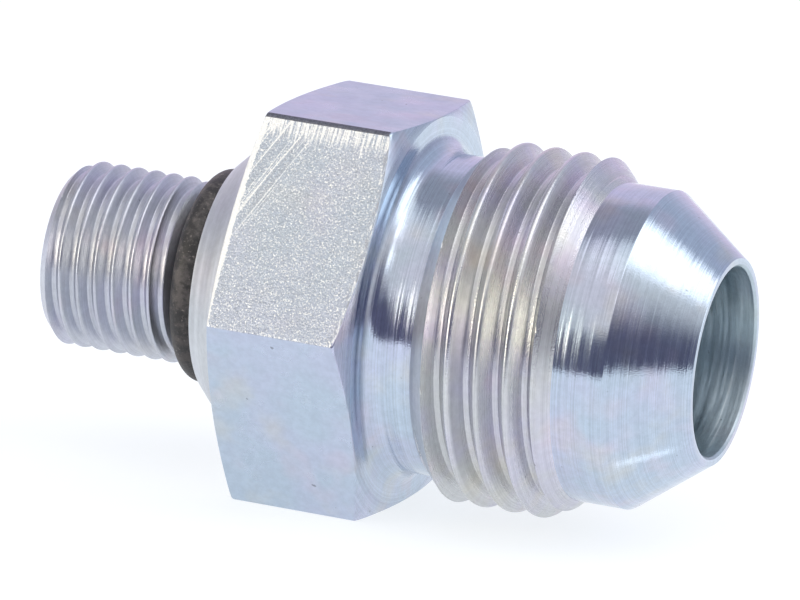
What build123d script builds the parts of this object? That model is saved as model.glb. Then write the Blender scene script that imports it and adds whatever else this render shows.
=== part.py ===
from build123d import *
import os
from math import radians, sqrt, tan

# Straight adapter fitting: a 37 degree flare end on one side of a hexagon, a metric stud end
# with an elastomer ring on the other. Millimetres. The axis is X, with the flare nose at +X.
# The origin lies on the axis in the plane of the seat, the ring-shaped face that meets the port.
# The hexagon lies on one flat, so +Z is up.

# Hexagon
hex_across_flats = 20.5
hex_length = 6.9               # along the six corners
hex_start = 3.15               # from the seat to the stud-side corners
stud_bevel_angle = 13.0        # slopes of the turned bevels that round off the hexagon's ends
flare_bevel_angle = 15.5
bevel_step = 0.05              # the flare-side bevel reaches this far inside the flats

# Stud end: seat boss, undercut and M10 x 1 stud, its fine thread drawn at the crest diameter
seat_diameter = 12.6
boss_half_angle = 45.0
undercut_diameter = 8.2
undercut_length = 1.68
stud_diameter = 9.83
stud_length = 9.22             # from the seat
stud_end_chamfer = 0.6
stud_bore_diameter = 4.0

# Flare end: neck, 3/4-16 thread, nose cylinder and 37 degree cone
flare_length = 16.68           # from the hexagon's flare-side face to the nose tip
neck_diameter = 16.8
neck_length = 2.55
neck_fillet = 1.1
thread_diameter = 19.0
thread_length = 7.6            # over both 45 degree end chamfers
thread_pitch = 1.5875
thread_depth = 0.93
thread_angle = 60.0            # between the flanks
thread_crest = 0.2             # width of the flat crest
thread_run_in = 0.49           # the groove starts this far before the thread, over the top
thread_run_out = 0.3           # and runs this far past it
cutter_overrun = 0.186         # the groove's cutter stands this far over the crest
nose_diameter = 16.66
cone_length = 3.86
cone_half_angle = 37.0

# Passage, drilled from both ends
flare_bore_diameter = 9.94
flare_bore_depth = 18.5
drill_point_angle = 118.0
mouth_chamfer = 0.12           # on the flare's mouth

# O-ring, 8.1 x 1.6, stretched into the undercut and pushed against the seat
ring_section = 1.58
ring_sides = 12                # its round section is drawn with this many flats

# Radii and stations along X
flat_radius = hex_across_flats / 2
corner_radius = hex_across_flats / sqrt(3)
face_radius = flat_radius - bevel_step
hex_end = hex_start + hex_length
stud_bevel_apex = hex_start - corner_radius * tan(radians(stud_bevel_angle))
flare_face = hex_end + (corner_radius - face_radius) * tan(radians(flare_bevel_angle))

seat_radius = seat_diameter / 2
undercut_radius = undercut_diameter / 2
stud_radius = stud_diameter / 2
boss_end = (face_radius - seat_radius) / tan(radians(boss_half_angle))
stud_start = undercut_length + stud_radius - undercut_radius

neck_radius = neck_diameter / 2
thread_radius = thread_diameter / 2
nose_radius = nose_diameter / 2
thread_start = flare_face + neck_length
thread_end = thread_start + thread_length
nose_tip = flare_face + flare_length
cone_start = nose_tip - cone_length
tip_radius = nose_radius - cone_length * tan(radians(cone_half_angle))

flare_bore_radius = flare_bore_diameter / 2
stud_bore_radius = stud_bore_diameter / 2
bore_end = nose_tip - flare_bore_depth
drill_point = (flare_bore_radius - stud_bore_radius) / tan(radians(drill_point_angle / 2))

# Groove of the thread: half widths at its root and at the cutter's top, which stands over the crest
cutter_reach = thread_depth + cutter_overrun
flank = tan(radians(thread_angle / 2))
root_half = (thread_pitch - thread_crest) / 2 - thread_depth * flank
top_half = root_half + cutter_reach * flank

# The body, turned and threaded from one piece of hexagon bar
with BuildPart() as adapter_body:
    with BuildSketch(Plane.YZ.offset(stud_bevel_apex)):
        RegularPolygon(flat_radius, 6, major_radius=False)
    extrude(amount=flare_face - stud_bevel_apex)
    # bevels that round off both ends of the hexagon
    with BuildSketch(Plane.XZ):
        Polygon((stud_bevel_apex, 0), (hex_start, corner_radius), (hex_end, corner_radius),
                (flare_face, face_radius), (flare_face, 0), align=None)
    revolve(axis=Axis.X, mode=Mode.INTERSECT)
    # stud end with its seat boss
    with BuildSketch(Plane.XZ):
        Polygon((boss_end, 0), (boss_end, face_radius), (0, seat_radius), (0, undercut_radius),
                (-undercut_length, undercut_radius), (-stud_start, stud_radius),
                (stud_end_chamfer - stud_length, stud_radius),
                (-stud_length, stud_radius - stud_end_chamfer), (-stud_length, 0), align=None)
    revolve(axis=Axis.X)
    # flare end, its neck rounded into the hexagon's face
    with BuildSketch(Plane.XZ) as flare_profile:
        Polygon((hex_end, 0), (hex_end, face_radius), (flare_face, face_radius),
                (flare_face, neck_radius), (thread_start, neck_radius),
                (thread_start + thread_radius - neck_radius, thread_radius),
                (thread_end - thread_radius + nose_radius, thread_radius), (thread_end, nose_radius),
                (cone_start, nose_radius), (nose_tip, tip_radius), (nose_tip, 0), align=None)
        inside_corner = flare_profile.vertices().sort_by_distance((flare_face, 0, neck_radius))[0]
        fillet(inside_corner, neck_fillet)
    revolve(axis=Axis.X)
    # passage, the two bores meeting at the larger one's drill point
    with BuildSketch(Plane.XZ):
        Polygon((-stud_length, 0), (-stud_length, stud_bore_radius), (bore_end - drill_point, stud_bore_radius),
                (bore_end, flare_bore_radius), (nose_tip, flare_bore_radius), (nose_tip, 0), align=None)
    revolve(axis=Axis.X, mode=Mode.SUBTRACT)
    nose_face = adapter_body.faces().filter_by(Axis.X).sort_by(Axis.X)[-1]
    chamfer(nose_face.inner_wires()[0].edge(), mouth_chamfer)
    # right-hand thread: one helical groove, open to the neck and to the nose
    with BuildLine(mode=Mode.PRIVATE) as groove:
        Helix(thread_pitch, thread_run_in + thread_length + thread_run_out, thread_radius - thread_depth,
              center=(thread_start - thread_run_in, 0, 0), direction=(1, 0, 0))
    groove_start = Plane(origin=groove.line @ 0, x_dir=(0, 0, 1), z_dir=groove.line % 0)
    with BuildSketch(groove_start) as cutter:
        Polygon((0, -root_half), (cutter_reach, -top_half), (cutter_reach, top_half), (0, root_half), align=None)
    sweep(cutter.sketch, path=groove.line, is_frenet=True, mode=Mode.SUBTRACT)
adapter_body.part.label = "adapter_body"

# The ring in the undercut, one flat of its section on the undercut and one on the seat
with BuildPart() as o_ring:
    with BuildSketch(Plane.XZ):
        with Locations((-ring_section / 2, undercut_radius + ring_section / 2)):
            RegularPolygon(ring_section / 2, ring_sides, major_radius=False, rotation=180 / ring_sides)
    revolve(axis=Axis.X)
o_ring.part.label = "o_ring"

os.makedirs("parts", exist_ok=True)
export_step(adapter_body.part, "parts/adapter_body.step")
export_step(o_ring.part, "parts/o_ring.step")
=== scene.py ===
import bisect
import math
from collections import namedtuple

import bmesh
import bpy
from mathutils import Matrix, Vector

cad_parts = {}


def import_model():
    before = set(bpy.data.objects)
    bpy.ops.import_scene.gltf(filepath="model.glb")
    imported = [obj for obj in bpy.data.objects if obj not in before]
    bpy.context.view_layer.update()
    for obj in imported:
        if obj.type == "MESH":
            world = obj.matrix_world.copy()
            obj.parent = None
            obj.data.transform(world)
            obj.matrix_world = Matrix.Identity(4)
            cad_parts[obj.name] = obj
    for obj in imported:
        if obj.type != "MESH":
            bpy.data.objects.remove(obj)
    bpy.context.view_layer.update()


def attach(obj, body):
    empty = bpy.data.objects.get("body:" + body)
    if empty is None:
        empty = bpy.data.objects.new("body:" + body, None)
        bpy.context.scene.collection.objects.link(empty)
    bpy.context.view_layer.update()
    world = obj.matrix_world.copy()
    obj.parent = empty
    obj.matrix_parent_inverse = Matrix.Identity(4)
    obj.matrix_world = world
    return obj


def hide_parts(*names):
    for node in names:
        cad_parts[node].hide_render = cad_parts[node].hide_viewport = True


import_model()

# A straight adapter fitting: a stud end with its O-ring, a hexagon and a flare end. Sizes are in
# millimetres here and in metres in the meshes. The axis is X, the origin lies on it in the plane of
# the seat, and the flare nose is at +X. Angles round the axis are in degrees, from +Y towards +Z.
MM = 0.001

# Hexagon. A bevel is given as millimetres along the axis for each millimetre of radius.
SIDE = 60                               # the angle that one flat takes up
HALF_SIDE = math.radians(SIDE / 2)
FLAT = 10.25
CORNER = FLAT / math.cos(HALF_SIDE)
HEX_START, HEX_END = 3.15, 10.05
STUD_BEVEL = math.tan(math.radians(13.0))
FLARE_BEVEL = math.tan(math.radians(15.5))
FACE_RADIUS = 10.2
FLARE_FACE = HEX_END + (CORNER - FACE_RADIUS) * FLARE_BEVEL
EDGE_ROUND, WORN_ROUND = 0.22, 0.36     # the six long edges, and the worn one among them
STUD_LIP, FLARE_LIP = 0.04, 0.05        # roundings at the two ends of a flat
ROLLED_LIP, TIP_ROUND = 0.12, 0.14      # more rounding on the grainy flat and at the corners
ROLL_IN, ROLL_OUT, TIP_SPREAD = 20, 30, 2.5     # angles over which that rounding comes and goes
WORN_EDGE, GRAINY_END = 120, 180        # the grainy flat lies between these angles
COLUMN_STEP, EDGE_STEPS = 2, 3          # columns on the flats and on half of a long edge
BESIDE_EDGE = (0.2, 0.5)                # angles of the columns just beside a long edge
ROW_NEAR_STUD_LIP, ROW_NEAR_FLARE_LIP = 0.35, 0.2

# Stud end: radii, and places along the axis
STUD_END, STUD_TIP, STUD_CREST = -9.22, 4.315, 4.915
STUD_CHAMFER_END, STUD_RAMP_START = -8.62, -2.495
UNDERCUT_START, UNDERCUT = -1.68, 4.1
SEAT = 6.3
STUD_BORE = 2.0
STUD_MOUTH_ROUND, ROOT_ROUND, SEAT_ROUND, BOSS_ROUND = 0.15, 0.15, 0.06, 0.08

# Flare end
NECK, FILLET = 8.4, 1.1
THREAD_START, THREAD_FULL = 13.05, 14.15
THREAD_LAST, THREAD_END = 19.484, 20.654
CREST, NOSE = 9.5, 8.33
FLARE_LENGTH, CONE_LENGTH, CONE_ANGLE = 16.68, 3.86, math.radians(37)
TIP = FLARE_FACE + FLARE_LENGTH
CONE_START = TIP - CONE_LENGTH
TIP_RADIUS = NOSE - (TIP - CONE_START) * math.tan(CONE_ANGLE)
BORE, BORE_END, MOUTH = 4.97, 8.684, 0.12
DRILL_HALF_POINT = math.radians(59)
DRILL_END = BORE_END - (BORE - STUD_BORE) / math.tan(DRILL_HALF_POINT)
FACE_ROUND, CONE_ROUND, TIP_EDGE_ROUND, BORE_END_ROUND = 0.1, 0.12, 0.05, 0.1
MOUTH_ROUNDS = (0.02, 0.04)             # the outer and the inner edge of the bevel at the mouth
NECK_ROW, BORE_ROW = THREAD_START - 0.7, BORE_END + 6

# Both threads are right-hand; crest_x is where a crest crosses the top of the fitting
Thread = namedtuple("Thread", "pitch crest_half depth top crest_round root_round segments crest_x")
FINE = Thread(pitch=1.0, crest_half=0.0625, depth=0.53, top=STUD_CREST, crest_round=0.09,
              root_round=0.04, segments=2, crest_x=-8.173)
COARSE = Thread(pitch=1.5875, crest_half=0.1, depth=0.93, top=CREST, crest_round=0.17,
                root_round=0.06, segments=3, crest_x=16.528)
THREAD_FLANK = math.radians(30)
CHAMFER_REACH = 0.02                    # how near to the chamfer its faces lie
FLANK_STEPS = 6                         # points down a flank, so that an edge across it stays smooth

# O-ring: radius and centre (x, r) of its section
RING_SECTION, RING_X, RING_R = 0.79, -0.79, 4.89
RING_COLUMNS, RING_ROWS = 120, 40

# Lengths in metres below which mesh points are one
SAME_CORNER, WELD, SLIVER = 1e-9, 2e-7, 1e-7

# Material slots of the body, and the corners of its middle part that divide them
TURNED, FLAT_SMOOTH, FLAT_GRAINY, FLARE_THREAD, STUD_THREAD, BORES, BOSS, FACED, WORN = range(9)
SEAT_ROOT, FLAT_START, FLAT_END, BEVEL_FOOT = 1, 4, 8, 9


def point_counts(points):
    """How many points each corner (x, r, radius, segments) gives in its rounded line."""
    last = len(points) - 1
    return [segments + 1 if radius > 0 and 0 < i < last else 1
            for i, (*_, radius, segments) in enumerate(points)]


def rows_of(points, corner):
    """First and last index in the rounded line of the points that a corner gives."""
    counts = point_counts(points)
    first = sum(counts[:corner])
    return first, first + counts[corner] - 1


def rounded(points):
    """Corners (x, r, radius, segments) as a line of (x, r) with its corners rounded."""
    line = []
    for i, ((x, r, radius, segments), count) in enumerate(zip(points, point_counts(points))):
        if count == 1:
            line.append((x, r))
            continue
        corner = Vector((x, r))
        before = Vector(points[i - 1][:2]) - corner
        after = Vector(points[i + 1][:2]) - corner
        half = before.angle(after) / 2
        reach = radius / math.tan(half)
        a, b = before.normalized(), after.normalized()
        centre = corner + (a + b).normalized() * (radius / math.sin(half))
        start, end = corner + a * reach - centre, corner + b * reach - centre
        sweep = math.atan2(start.x * end.y - start.y * end.x, start.dot(end))
        for k in range(segments + 1):
            turn = sweep * k / segments
            c, s = math.cos(turn), math.sin(turn)
            line.append((centre.x + start.x * c - start.y * s, centre.y + start.x * s + start.y * c))
    return line


def edge_radius(angle):
    """Rounding of the long edge nearest to this angle."""
    return WORN_ROUND if abs(angle - WORN_EDGE) < SIDE / 2 else EDGE_ROUND


def edge_centre(radius):
    """Distance from the axis to the centre of a long edge's rounding."""
    return (FLAT - radius) / math.cos(HALF_SIDE)


def edge_reach(radius):
    """Half the angle that a rounded long edge takes up."""
    return math.degrees(math.atan2(radius * math.sin(HALF_SIDE),
                                   edge_centre(radius) + radius * math.cos(HALF_SIDE)))


def from_corner(angle):
    """Angle from the hexagon's nearest corner."""
    return abs((angle + SIDE / 2) % SIDE - SIDE / 2)


def columns():
    """Angles round the axis, closer together at the hexagon's rounded edges."""
    angles = set()
    for corner in range(0, 360, SIDE):
        reach = edge_reach(edge_radius(corner))
        angles.update((corner + reach * k / EDGE_STEPS) % 360 for k in range(-EDGE_STEPS, EDGE_STEPS + 1))
        angles.update((corner + side * (reach + step)) % 360 for side in (-1, 1) for step in BESIDE_EDGE)
        angles.update(range(corner + COLUMN_STEP, corner + SIDE, COLUMN_STEP))
    return sorted(angles) + [360.0]


def hexagon(angle):
    """Radius of the hexagon with rounded edges at this angle."""
    turn = math.radians(from_corner(angle))
    radius = edge_radius(angle)
    if from_corner(angle) < edge_reach(radius):
        centre = edge_centre(radius)
        return centre * math.cos(turn) + math.sqrt(radius ** 2 - (centre * math.sin(turn)) ** 2)
    return FLAT / math.cos(HALF_SIDE - turn)


def tip_round(angle):
    """Extra rounding of the bevels' edges at the hexagon's six corners."""
    return TIP_ROUND * max(0.0, 1 - from_corner(angle) / TIP_SPREAD)


def stud_lip(angle):
    """Rounding between a flat and the stud-side bevel, rolled over on the grainy flat."""
    lip = STUD_LIP + tip_round(angle)
    low, high = WORN_EDGE + 1, GRAINY_END - 1
    if not low < angle < high:
        return lip
    return lip + ROLLED_LIP * min(1.0, (angle - low) / ROLL_IN) * min(1.0, (high - angle) / ROLL_OUT)


def middle_part(angle):
    """Corners from the end of the stud thread over the seat and the hexagon to the flare thread.

    The flat has a row near each of its ends and one in its middle, which keep its shading even.
    """
    radius = hexagon(angle)
    boss_x = (HEX_START - CORNER * STUD_BEVEL + SEAT * STUD_BEVEL) / (1 - STUD_BEVEL)
    lip_x = HEX_START - (CORNER - radius) * STUD_BEVEL
    far_x = HEX_END + (CORNER - radius) * FLARE_BEVEL
    return [
        (UNDERCUT_START, UNDERCUT, 0, 1),
        (0, UNDERCUT, ROOT_ROUND, 3),
        (0, SEAT, SEAT_ROUND, 2),
        (boss_x, SEAT + boss_x, BOSS_ROUND, 2),
        (lip_x, radius, stud_lip(angle), 4),
        (lip_x + ROW_NEAR_STUD_LIP, radius, 0, 1),
        ((lip_x + far_x) / 2, radius, 0, 1),
        (far_x - ROW_NEAR_FLARE_LIP, radius, 0, 1),
        (far_x, radius, FLARE_LIP + tip_round(angle), 3),
        (FLARE_FACE, FACE_RADIUS, FACE_ROUND, 1),
        (FLARE_FACE, NECK, FILLET, 12),
        (NECK_ROW, NECK, 0, 1),
        (THREAD_START, NECK, 0, 1),
    ]


def half_thread(thread):
    """A thread from the crest's middle to the root's, as (distance along the axis, radius)."""
    root = thread.top - thread.depth
    flank = thread.depth * math.tan(THREAD_FLANK)
    line = rounded([
        (0, thread.top, 0, 1), (thread.crest_half, thread.top, thread.crest_round, thread.segments),
        (thread.crest_half + flank, root, thread.root_round, thread.segments),
        (thread.pitch / 2, root, 0, 1)])
    k = thread.segments + 1
    (xa, ra), (xb, rb) = line[k], line[k + 1]
    steps = [i / FLANK_STEPS for i in range(1, FLANK_STEPS)]
    return line[:k + 1] + [(xa + (xb - xa) * t, ra + (rb - ra) * t) for t in steps] + line[k + 1:]


def interpolate(line, x):
    """r of a line of (x, r) points at x, level beyond its ends."""
    if x <= line[0][0]:
        return line[0][1]
    if x >= line[-1][0]:
        return line[-1][1]
    i = bisect.bisect_right([p[0] for p in line], x)
    (xa, ra), (xb, rb) = line[i - 1], line[i]
    return ra + (rb - ra) * (x - xa) / (xb - xa)


def thread_columns(thread, envelope, angles):
    """A column of (x, r) for each angle over a thread that is cut off by the envelope's line."""
    pitch, half = thread.pitch, half_thread(thread)
    start, end = envelope[0][0], envelope[-1][0]
    phases = [-p[0] for p in reversed(half[1:])] + [p[0] for p in half[:-1]]
    first = math.floor((start - thread.crest_x) / pitch) - 2
    last = math.ceil((end - thread.crest_x) / pitch) + 2
    offsets = [k * pitch + s for k in range(first, last + 1) for s in phases]

    def cut(x, shift):
        s = (x - thread.crest_x - shift + pitch / 2) % pitch - pitch / 2
        return interpolate(half, abs(s))

    table = []
    for angle in angles:
        shift = pitch * (angle - 90) / 360
        xs = [min(max(thread.crest_x + shift + o, start), end) for o in offsets]
        # points move onto the envelope's corners and onto the places where the thread meets it
        kinks = [p[0] for p in envelope[1:-1]]
        gap = [interpolate(envelope, x) - cut(x, shift) for x in xs]
        for i in range(len(xs) - 1):
            if gap[i] * gap[i + 1] < 0:
                kinks.append(xs[i] + (xs[i + 1] - xs[i]) * gap[i] / (gap[i] - gap[i + 1]))
        taken = set()
        for x in kinks:
            i = bisect.bisect_left(xs, x)
            near = [k for k in (i - 1, i) if 0 <= k < len(xs) and k not in taken and start < xs[k] < end]
            if near:
                k = min(near, key=lambda n: abs(xs[n] - x))
                xs[k] = x
                taken.add(k)
        table.append([(x, min(interpolate(envelope, x), cut(x, shift))) for x in xs])
    return table


def skin(mesh, table, angles, slot_of):
    """Adds a grid: a column of (x, r) per angle, and slot_of(row, angle) as each face's slot."""
    grid = []
    for angle, column in zip(angles, table):
        c, s = math.cos(math.radians(angle)), math.sin(math.radians(angle))
        grid.append([mesh.verts.new((x * MM, r * c * MM, r * s * MM)) for x, r in column])
    for i in range(len(grid) - 1):
        middle = (angles[i] + angles[i + 1]) / 2
        for j in range(len(grid[i]) - 1):
            corners = [grid[i][j], grid[i][j + 1], grid[i + 1][j + 1], grid[i + 1][j]]
            kept = [v for k, v in enumerate(corners) if (v.co - corners[k - 1].co).length > SAME_CORNER]
            if len(kept) > 2:
                face = mesh.faces.new(kept)
                face.material_index = slot_of(j, middle)
                face.smooth = True


def link(obj):
    bpy.context.scene.collection.objects.link(obj)
    return obj


def finish_mesh(bm, name, sharp_angle):
    """Joins the grids where they meet and makes the object."""
    bmesh.ops.remove_doubles(bm, verts=bm.verts, dist=WELD)
    bmesh.ops.dissolve_degenerate(bm, edges=bm.edges, dist=SLIVER)
    bmesh.ops.recalc_face_normals(bm, faces=bm.faces)
    data = bpy.data.meshes.new(name)
    bm.to_mesh(data)
    bm.free()
    data.set_sharp_from_angle(angle=math.radians(sharp_angle))
    return link(bpy.data.objects.new(name, data))


def make_body():
    """The turned body: five grids from the stud's bore round the outside to the flare's bore."""
    angles = columns()
    bm = bmesh.new()

    inner = [(DRILL_END, STUD_BORE, 0, 1), (0, STUD_BORE, 0, 1),
             (STUD_END, STUD_BORE, STUD_MOUTH_ROUND, 3), (STUD_END, STUD_TIP, 0, 1)]
    mouth_row = rows_of(inner, 2)[0]
    skin(bm, [rounded(inner)] * len(angles), angles, lambda j, a: BORES if j <= mouth_row else TURNED)

    envelope = [(STUD_END, STUD_TIP), (STUD_CHAMFER_END, STUD_CREST), (STUD_RAMP_START, STUD_CREST),
                (UNDERCUT_START, UNDERCUT)]
    skin(bm, thread_columns(FINE, envelope, angles), angles, lambda j, a: STUD_THREAD)

    # seat, boss, hexagon and neck; every angle gives its corners as many rows
    corners = middle_part(0)
    root_end, flat_start = rows_of(corners, SEAT_ROOT)[1], rows_of(corners, FLAT_START)[0]
    flat_end, bevel_end = rows_of(corners, FLAT_END)[0], rows_of(corners, BEVEL_FOOT)[1]

    def middle_slot(j, angle):
        if j < root_end:
            return STUD_THREAD
        if j < flat_start:
            return BOSS
        if j >= flat_end:
            return FACED if j < bevel_end else TURNED
        if abs(angle - WORN_EDGE) < edge_reach(WORN_ROUND):
            return WORN
        return FLAT_GRAINY if WORN_EDGE < angle < GRAINY_END else FLAT_SMOOTH
    skin(bm, [rounded(middle_part(a)) for a in angles], angles, middle_slot)

    envelope = [(THREAD_START, NECK), (THREAD_FULL, CREST), (THREAD_LAST, CREST), (THREAD_END, NOSE)]
    skin(bm, thread_columns(COARSE, envelope, angles), angles, lambda j, a: FLARE_THREAD)
    # the 45 degree chamfer where the flare thread starts is finished as the boss is
    for face in bm.faces:
        centre = face.calc_center_median() / MM
        rise = math.hypot(centre.y, centre.z) - NECK
        on_chamfer = abs(rise - centre.x + THREAD_START) < CHAMFER_REACH
        if face.material_index == FLARE_THREAD and centre.x < THREAD_FULL and on_chamfer:
            face.material_index = BOSS

    nose = [(THREAD_END, NOSE, 0, 1), (CONE_START, NOSE, CONE_ROUND, 3),
            (TIP, TIP_RADIUS, TIP_EDGE_ROUND, 2), (TIP, BORE + MOUTH, MOUTH_ROUNDS[0], 2),
            (TIP - MOUTH, BORE, MOUTH_ROUNDS[1], 2), (BORE_ROW, BORE, 0, 1),
            (BORE_END, BORE, BORE_END_ROUND, 2), (DRILL_END, STUD_BORE, 0, 1)]
    rim_row = rows_of(nose, 3)[0]
    skin(bm, [rounded(nose)] * len(angles), angles, lambda j, a: TURNED if j < rim_row else BORES)
    return finish_mesh(bm, "fitting_body", sharp_angle=32)


def make_ring():
    """The O-ring, stretched into the undercut and resting against the seat."""
    bm = bmesh.new()
    angles = [k * 360 / RING_COLUMNS for k in range(RING_COLUMNS + 1)]
    turns = [2 * math.pi * k / RING_ROWS for k in range(RING_ROWS + 1)]
    section = [(RING_X + RING_SECTION * math.cos(t), RING_R + RING_SECTION * math.sin(t)) for t in turns]
    skin(bm, [section] * len(angles), angles, lambda j, a: 0)
    return finish_mesh(bm, "sealing_ring", sharp_angle=180)


class Nodes:
    """A node tree that is built from short calls. Values are numbers, tuples or sockets."""

    def __init__(self, tree):
        self.tree = tree
        tree.nodes.clear()

    def set(self, socket, value):
        if isinstance(value, bpy.types.NodeSocket):
            self.tree.links.new(value, socket)
        else:
            socket.default_value = value

    def add(self, kind, inputs=None, **settings):
        node = self.tree.nodes.new(kind)
        for key, value in settings.items():
            setattr(node, key, value)
        for key, value in (inputs or {}).items():
            self.set(node.inputs[key], value)
        return node

    def math(self, operation, a, b=0.0):
        return self.add("ShaderNodeMath", {0: a, 1: b}, operation=operation).outputs[0]

    def plus(self, a, b):
        return self.math("ADD", a, b)

    def minus(self, a, b):
        return self.math("SUBTRACT", a, b)

    def times(self, a, b):
        return self.math("MULTIPLY", a, b)

    def weighed(self, a, weight_a, b, weight_b):
        return self.plus(self.times(a, weight_a), self.times(b, weight_b))

    def centred(self, value, amount):
        """A value of 0 to 1 as one of plus or minus half the amount."""
        return self.times(self.minus(value, 0.5), amount)

    def vector(self, operation, a, b=(0.0, 0.0, 0.0), scale=1.0):
        node = self.add("ShaderNodeVectorMath", {0: a, 1: b, 3: scale}, operation=operation)
        return node.outputs["Value" if operation == "DOT_PRODUCT" else "Vector"]

    def combine(self, x, y, z):
        return self.add("ShaderNodeCombineXYZ", {0: x, 1: y, 2: z}).outputs[0]

    def split(self, vector):
        return tuple(self.add("ShaderNodeSeparateXYZ", {0: vector}).outputs)

    def spread(self, value, low, high, to_low=0.0, to_high=1.0):
        """The value's way from low to high, smoothed, as a number from to_low to to_high."""
        return self.add("ShaderNodeMapRange", {0: value, 1: low, 2: high, 3: to_low, 4: to_high},
                        interpolation_type="SMOOTHSTEP").outputs[0]

    def noise(self, vector, scale, detail=2.0, rough=0.5):
        return self.add("ShaderNodeTexNoise", {"Vector": vector, "Scale": scale, "Detail": detail,
                                               "Roughness": rough}).outputs[0]

    def mix(self, factor, a, b, blend="MIX"):
        node = self.add("ShaderNodeMix", {"Factor": factor}, data_type="RGBA", blend_type=blend)
        for key, value in ((6, a), (7, b)):
            self.set(node.inputs[key], (*value, 1.0) if isinstance(value, tuple) else value)
        return node.outputs[2]

    def shade(self, colour, level):
        """The colour times a level."""
        return self.mix(1.0, colour, self.combine(level, level, level), "MULTIPLY")

    def bump(self, height, strength, distance, **inputs):
        """A surface normal from a height; the distance is in millimetres."""
        return self.add("ShaderNodeBump", {"Strength": strength, "Distance": distance * MM,
                                           "Height": height, **inputs}).outputs[0]

    def finish(self, kind, shader):
        self.tree.links.new(shader, self.add(kind).inputs[0])


def new_material(name):
    material = bpy.data.materials.new(name)
    material.use_nodes = True
    return material, Nodes(material.node_tree)


def millimetres(n):
    """Object coordinates in millimetres."""
    coord = n.add("ShaderNodeTexCoord").outputs["Object"]
    return n.vector("SCALE", coord, scale=1 / MM)


def axis_distance(n, y, z):
    return n.math("SQRT", n.weighed(y, y, z, z))


def moved(n, place, x, y, z):
    return n.vector("ADD", place, (x, y, z))


ZINC = (0.50, 0.588, 0.70)
LAVENDER = (0.60, 0.57, 0.77)
STRAW = (0.68, 0.64, 0.55)
ROSE = (0.70, 0.57, 0.66)
WHITE = (0.97, 0.98, 0.98)
SPECK = (0.16, 0.17, 0.20)
GRAIN_BASE, GRAIN_PIT = (0.47, 0.53, 0.62), (0.27, 0.30, 0.36)
SCRATCH_GAP, NICK = (0.42, 0.44, 0.50), (0.40, 0.42, 0.48)
RUBBED_DARK, RUBBED_LIGHT = (0.13, 0.14, 0.17), (0.24, 0.25, 0.30)
RUBBER_BLACK, RUBBER_DUST, RUBBER_SPECK = (0.022, 0.021, 0.023), (0.115, 0.105, 0.105), (0.26, 0.23, 0.22)


# Ways on the grainy flat: up it, as (y, z), and along the saw scratches, as (x, up)
FLAT_UP, SAW_WAY = (0.5, 0.866), (0.426, 0.905)


def finish_metal(n, colour, roughness, normal, anisotropic=0.0):
    """Bare metal, brushed round the axis where it is anisotropic."""
    shader = n.add("ShaderNodeBsdfPrincipled", {
        "Base Color": colour, "Metallic": 1.0, "Roughness": roughness, "Normal": normal,
        "Anisotropic": anisotropic, "Anisotropic Rotation": 0.25 if anisotropic else 0.0})
    if anisotropic:
        tangent = n.add("ShaderNodeTangent", direction_type="RADIAL", axis="X")
        n.tree.links.new(tangent.outputs[0], shader.inputs["Tangent"])
    n.finish("ShaderNodeOutputMaterial", shader.outputs[0])


def zinc_tint(n, place, strength=1.0, base=ZINC):
    """Zinc with the faint lavender, straw and rose blotches of bright passivate, and a few specks."""
    lavender = n.spread(n.noise(place, 0.22, 3.0), 0.42, 0.68, 0.0, 0.4 * strength)
    straw = n.spread(n.noise(moved(n, place, 31, 7, 3), 0.30, 3.0), 0.52, 0.75, 0.0, 0.4 * strength)
    rose = n.spread(n.noise(moved(n, place, 11, 17, 23), 0.35, 2.0), 0.55, 0.75, 0.0, 0.3 * strength)
    mottle = n.spread(n.noise(place, 2.5, 4.0, 0.7), 0.3, 0.7, 0.94, 1.04)
    speck = n.spread(n.noise(moved(n, place, 5, 3, 9), 2.2, 2.0, 0.6), 0.745, 0.775, 0.0, 0.6)
    colour = n.mix(lavender, base, LAVENDER)
    colour = n.mix(straw, colour, STRAW)
    colour = n.mix(rose, colour, ROSE)
    return n.mix(speck, n.shade(colour, mottle), SPECK)


def tilted_normal(n, round_tilt, axial_tilt):
    """The surface normal, tilted round the axis and along it by two values."""
    normal = n.add("ShaderNodeNewGeometry").outputs["Normal"]
    round_way = n.vector("CROSS_PRODUCT", (1.0, 0.0, 0.0), normal)
    tilted = n.vector("ADD", normal, n.vector("SCALE", round_way, scale=round_tilt))
    tilted = n.vector("ADD", tilted, n.combine(axial_tilt, 0.0, 0.0))
    return n.vector("NORMALIZE", tilted)


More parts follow.
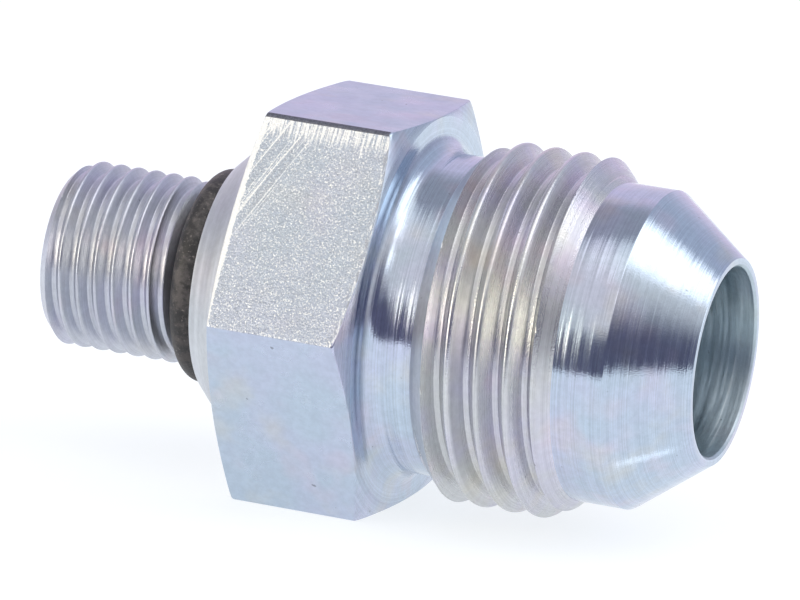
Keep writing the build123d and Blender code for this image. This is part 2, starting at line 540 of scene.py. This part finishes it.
def lathed(name, fine=14.0, around=0.05, tilt=0.12, axial=0.5, rough=(0.10, 0.20), tint=1.0,
           anisotropic=0.7, base=ZINC, lines=0.0, grit=0.12):
    """Turned zinc-plated steel: every ring of the surface leans a little its own way.

    fine is the number of marks per millimetre of the profile and around that per millimetre round
    the axis, tilt and axial are how far the rings lean, lines is how bright the marks are, and grit
    is the depth of the plating's grain.
    """
    material, n = new_material(name)
    place = millimetres(n)
    x, y, z = n.split(place)
    # grows along cylinders, cones and end faces alike
    profile = n.minus(x, n.times(axis_distance(n, y, z), 1.3))

    def rings(share, shift, detail, roughness):
        along = n.plus(n.times(profile, fine * share), shift)
        where = n.combine(along, n.times(y, around), n.times(z, around))
        return n.noise(where, 1.0, detail, roughness)

    marks = rings(1.0, 0.0, 3.0, 0.6)
    across = rings(0.6, 57.0, 4.0, 0.65)
    wide = rings(0.2, 13.0, 3.0, 0.6)
    # the marks are deeper above the level of the axis than below it
    depth = n.spread(z, -2.5, 3.0, 0.35, 1.0)
    normal = tilted_normal(n, n.times(n.centred(marks, tilt), depth), n.centred(across, axial))
    normal = n.bump(n.noise(place, 14.0, 2.0, 0.5), grit, 0.03, Normal=normal)
    colour = n.shade(zinc_tint(n, place, tint, base), n.spread(marks, 0.3, 0.7, 0.90, 1.06))
    if lines:
        colour = n.mix(n.spread(marks, 0.58, 0.70, 0.0, lines), colour, WHITE)
    finish_metal(n, colour, n.spread(wide, 0.3, 0.7, *rough), normal, anisotropic)
    return material


def smooth_flat():
    """The drawn flats of the hexagon."""
    material, n = new_material("zinc_flat")
    place = millimetres(n)
    rough = n.spread(n.noise(place, 0.5, 3.0), 0.3, 0.7, 0.26, 0.38)
    finish_metal(n, zinc_tint(n, place, 0.8), rough, n.bump(n.noise(place, 7.0, 3.0, 0.6), 0.10, 0.03))
    return material


def worn_edge():
    """The long edge above the grainy flat, rubbed dull and dark."""
    material, n = new_material("zinc_worn_edge")
    grain = n.noise(millimetres(n), 9.0, 3.0, 0.6)
    colour = n.mix(n.spread(grain, 0.35, 0.7), RUBBED_DARK, RUBBED_LIGHT)
    finish_metal(n, colour, 0.5, n.bump(grain, 0.5, 0.06))
    return material


def grainy_flat():
    """The flat towards the camera: grain with painted glints, saw scratches, short streaks and a rolled edge
    with a painted white highlight.
    """
    material, n = new_material("zinc_grainy_flat")
    place = millimetres(n)
    x, y, z = n.split(place)
    r = axis_distance(n, y, z)
    up = n.weighed(y, FLAT_UP[0], z, FLAT_UP[1])
    grain = n.noise(place, 9.0, 2.0, 0.6)
    # painted glints: fine white spots in the colour stand in for the grain's glints
    painted_glint = n.spread(n.noise(moved(n, place, 3, 5, 7), 11.0, 1.0, 0.5), 0.52, 0.68, 0.0, 0.75)
    pit = n.spread(n.noise(moved(n, place, 13, 5, 1), 11.0, 1.0, 0.5), 0.54, 0.72, 0.0, 0.45)
    colour = n.mix(painted_glint, zinc_tint(n, place, 0.4, GRAIN_BASE), WHITE)
    colour = n.mix(pit, colour, GRAIN_PIT)

    # saw scratches run up towards the nose side, strongest near the stud-side upper corner
    across = n.times(n.weighed(x, SAW_WAY[1], up, -SAW_WAY[0]), 7.0)
    along = n.times(n.weighed(x, SAW_WAY[0], up, SAW_WAY[1]), 0.10)
    saw = n.noise(n.combine(across, along, 0.0), 1.0, 2.0, 0.6)
    reach = n.minus(n.plus(4.4, n.times(up, 0.35)), x)
    near = n.times(n.spread(reach, -0.6, 1.0), n.spread(up, -2.5, 2.0))
    scratch = n.times(n.spread(saw, 0.54, 0.60), near)
    gap = n.times(n.spread(saw, 0.44, 0.36), near)
    colour = n.mix(n.times(gap, 0.45), colour, SCRATCH_GAP)
    colour = n.mix(n.times(scratch, 0.9), colour, WHITE)

    # short streaks hang from the upper edge
    comb = n.noise(n.combine(n.times(x, 8.0), n.times(up, 0.4), 3.0), 1.0, 2.0, 0.6)
    hang = n.plus(up, n.centred(comb, 2.4))
    streak = n.times(n.spread(hang, 4.6, 5.3), n.spread(comb, 0.42, 0.56))
    colour = n.mix(n.times(streak, 0.9), colour, WHITE)

    # nicks along the flare-side edge
    flare_edge = n.minus(HEX_END + CORNER * FLARE_BEVEL, n.times(r, FLARE_BEVEL))
    side = n.spread(n.minus(flare_edge, x), 0.05, 0.45, 1.0, 0.0)
    nick = n.noise(n.combine(n.times(x, 5.0), n.times(up, 1.2), 8.0), 1.0, 3.0, 0.65)
    colour = n.mix(n.times(side, n.spread(nick, 0.50, 0.60)), colour, NICK)
    colour = n.mix(n.times(side, n.spread(nick, 0.46, 0.38)), colour, WHITE)

    # the edge rolled over on the stud side (the burr), wider towards the top, gets a painted white highlight
    # and more roughness
    stud_edge = n.plus(n.times(r, STUD_BEVEL), HEX_START - CORNER * STUD_BEVEL)
    ragged = n.plus(n.minus(x, stud_edge), n.centred(n.noise(place, 3.0, 4.0, 0.7), 0.30))
    rolled_edge_highlight = n.math("LESS_THAN", ragged, n.spread(up, -5.9, -1.0, 0.08, 0.32))
    colour = n.mix(rolled_edge_highlight, colour, WHITE)
    rough = n.plus(n.spread(grain, 0.3, 0.7, 0.30, 0.42), n.times(rolled_edge_highlight, 0.25))
    finish_metal(n, colour, rough, n.bump(grain, 0.6, 0.08))
    return material


def rubber():
    """Black rubber with dust and a few pale specks."""
    material, n = new_material("rubber_black")
    place = millimetres(n)
    specks = n.noise(place, 6.0, 4.0, 0.65)
    dust = n.noise(place, 1.5, 4.0, 0.65)
    colour = n.mix(n.spread(dust, 0.40, 0.68), RUBBER_BLACK, RUBBER_DUST)
    colour = n.mix(n.spread(specks, 0.60, 0.72), colour, RUBBER_SPECK)
    shader = n.add("ShaderNodeBsdfPrincipled", {
        "Base Color": colour, "Roughness": n.spread(dust, 0.3, 0.8, 0.40, 0.65),
        "Normal": n.bump(specks, 0.5, 0.06)})
    n.finish("ShaderNodeOutputMaterial", shader.outputs[0])
    return material


# The body's materials, in the order of its slots
BODY_MATERIALS = (
    lathed("zinc_turned"),
    smooth_flat(),
    grainy_flat(),
    lathed("zinc_thread", 10.0, axial=0.5, rough=(0.22, 0.34), tint=1.2, anisotropic=0.4,
           base=(0.625, 0.64, 0.655), grit=0.5),
    lathed("zinc_fine_thread", 10.0, tilt=0.2, axial=0.4, rough=(0.30, 0.42), tint=0.8,
           anisotropic=0.2, base=(0.585, 0.61, 0.675), grit=0.4),
    lathed("zinc_bore", 5.0, 0.2, tilt=0.3, rough=(0.34, 0.46), tint=0.3, anisotropic=0.4,
           base=(0.50, 0.60, 0.65), lines=0.35),
    lathed("zinc_boss", 7.0, axial=1.3, rough=(0.34, 0.48), tint=0.4, anisotropic=0.6,
           base=(0.68, 0.71, 0.745), lines=0.5),
    lathed("zinc_faced", 5.0, axial=0.3, rough=(0.24, 0.36), tint=1.3),
    worn_edge(),
)

body = make_body()
for made in BODY_MATERIALS:
    body.data.materials.append(made)
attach(body, "root")
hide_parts("adapter_body")

ring = make_ring()
ring.data.materials.append(rubber())
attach(ring, "root")
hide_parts("o_ring")


# Floor: a white sheet. Its front edge lies outside the view, and the metal mirrors the dim room beyond.
FLOOR_SIZE, FLOOR_FRONT = 1.5, -55 * MM
FLOOR_DIFFUSE, FLOOR_GLOW = (0.30, 0.31, 0.33, 1.0), (0.95, 0.98, 1.0, 1.0)
STREAK_CENTRE, STREAK_WAY = Vector((28.7, -4.3)), Vector((0.77, 0.64))


def floor():
    data = bpy.data.meshes.new("floor")
    size, height = FLOOR_SIZE, -FLAT * MM
    data.from_pydata([(-size, FLOOR_FRONT, height), (size, FLOOR_FRONT, height), (size, size, height),
                      (-size, size, height)], [], [(0, 1, 2, 3)])
    obj = link(bpy.data.objects.new("floor", data))
    material, n = new_material("floor_white")
    data.materials.append(material)
    diffuse = n.add("ShaderNodeBsdfDiffuse", {"Color": FLOOR_DIFFUSE})
    path = n.add("ShaderNodeLightPath")
    seen = n.math("MAXIMUM", n.math("MAXIMUM", path.outputs["Is Camera Ray"], path.outputs["Is Glossy Ray"]),
                  path.outputs["Is Transmission Ray"])
    # a bright streak beside the nose, where the cone throws the light down
    x, y, z = n.split(millimetres(n))
    from_x, from_y = n.minus(x, STREAK_CENTRE.x), n.minus(y, STREAK_CENTRE.y)
    along = n.weighed(from_x, STREAK_WAY.x, from_y, STREAK_WAY.y)
    across = n.weighed(from_y, STREAK_WAY.x, from_x, -STREAK_WAY.y)
    streak = n.times(n.spread(n.math("ABSOLUTE", across), 0.15, 0.6, 1.0, 0.0),
                     n.spread(n.math("ABSOLUTE", along), 2.0, 2.8, 1.0, 0.0))
    level = n.plus(n.times(streak, 0.6), 0.80)
    glow = n.add("ShaderNodeEmission", {"Color": FLOOR_GLOW, "Strength": n.times(seen, level)})
    both = n.add("ShaderNodeAddShader", {0: diffuse.outputs[0], 1: glow.outputs[0]})
    n.finish("ShaderNodeOutputMaterial", both.outputs[0])


# World. A patch is (direction, inner degrees, outer degrees, colour): full within the inner angle
# of its direction and faded out at the outer one.
TENT_FRONT, TENT_BACK, ROOM = (0.92, 0.90, 0.88), (0.86, 0.76, 0.94), (0.14, 0.14, 0.21)
SHADES = (
    ((0.55, 0.62, 0.45), 15, 45, (0.58, 0.62, 0.74)),
    ((-0.25, 0.25, 0.93), 10, 32, (0.44, 0.44, 0.50)),
    ((0.62, 0.78, 0.05), 8, 25, (0.50, 0.51, 0.62)),
)
LIGHTS = (
    # a shade above the stud
    ((-0.85, 0.15, 0.45), 15, 40, (0.46, 0.47, 0.53)),
    # low panels left of the camera and right behind, which light the flanks of the threads
    ((-0.66, -0.73, 0.17), 8, 21, (4.8, 4.4, 3.6)),
    ((0.90, 0.42, 0.10), 6, 18, (3.0, 3.0, 3.0)),
    # the key light, a box above the nose with a strip towards the camera
    ((0.45, -0.60, 0.66), 4, 14, (2.0, 2.0, 2.0)),
    ((0.42, -0.25, 0.87), 5, 15, (2.4, 2.4, 2.4)),
    ((0.60, 0.20, 0.775), 9, 23, (2.3, 2.3, 2.3)),
)


def world():
    """A soft tent with a bright box above the nose and the dim room behind the camera."""
    made = bpy.data.worlds.new("studio")
    bpy.context.scene.world = made
    made.use_nodes = True
    n = Nodes(made.node_tree)
    way = n.add("ShaderNodeTexCoord").outputs["Generated"]
    x, y, z = n.split(way)

    def with_patches(colour, patches):
        for direction, inner, outer, shade in patches:
            dot = n.vector("DOT_PRODUCT", way, Vector(direction).normalized())
            reach = n.spread(dot, math.cos(math.radians(outer)), math.cos(math.radians(inner)))
            colour = n.mix(reach, colour, shade)
        return colour

    colour = with_patches(n.mix(n.spread(y, -0.1, 0.75), TENT_FRONT, TENT_BACK), SHADES)
    # the dim room behind the camera, its upper edge uneven
    uneven = n.centred(n.noise(n.combine(n.times(x, 5.0), 0.0, 0.0), 1.0, 2.0, 0.6), 0.5)
    limit = n.plus(n.plus(n.times(x, 0.28), 0.33), uneven)
    low = n.spread(n.minus(z, limit), n.spread(x, 0.0, 0.6, -0.12, -0.36), 0.14, 1.0, 0.0)
    room = n.times(n.times(n.spread(y, -0.30, 0.05, 1.0, 0.0), low), n.spread(x, -0.60, -0.38))
    colour = with_patches(n.mix(room, colour, ROOM), LIGHTS)
    shader = n.add("ShaderNodeBackground", {"Color": colour, "Strength": 1.0})
    n.finish("ShaderNodeOutputWorld", shader.outputs[0])


LAMP_PLACE, LAMP_AIM, LAMP_SIZE = Vector((0.05, -0.12, 0.45)), Vector((0.009, 0, 0)), 0.30
LAMP_WATTS, LAMP_COLOUR = 0.12, (1.0, 0.99, 0.97)


def overhead_lamp():
    light = bpy.data.lights.new("overhead", "AREA")
    light.shape = "RECTANGLE"
    light.size = light.size_y = LAMP_SIZE
    light.energy = LAMP_WATTS
    light.color = LAMP_COLOUR
    obj = link(bpy.data.objects.new("overhead", light))
    obj.location = LAMP_PLACE
    obj.rotation_euler = (LAMP_AIM - LAMP_PLACE).to_track_quat("-Z", "Y").to_euler()


# Camera: its place, its axes and its lens are fitted to the fitting's outline
CAMERA_PLACE = Vector((0.139562, -0.371697, 0.085827))
CAMERA_RIGHT = Vector((0.93279097, 0.34829788, 0.09268005))
CAMERA_DOWN = Vector((0.15934169, -0.16787087, -0.97284613))
CAMERA_AHEAD = Vector((-0.32328196, 0.92222988, -0.2120868))
CAMERA_LENS, SENSOR_WIDTH, CLIP = 348.67, 36.0, (0.01, 10.0)


def camera():
    obj = link(bpy.data.objects.new("camera", bpy.data.cameras.new("camera")))
    obj.data.sensor_width = SENSOR_WIDTH
    obj.data.lens = CAMERA_LENS
    obj.data.clip_start, obj.data.clip_end = CLIP
    axes = Matrix((CAMERA_RIGHT, -CAMERA_DOWN, -CAMERA_AHEAD)).transposed()
    obj.matrix_world = Matrix.Translation(CAMERA_PLACE) @ axes.to_4x4()
    bpy.context.scene.camera = obj


floor()
world()
overhead_lamp()
camera()
bpy.context.scene.view_settings.view_transform = "Standard"
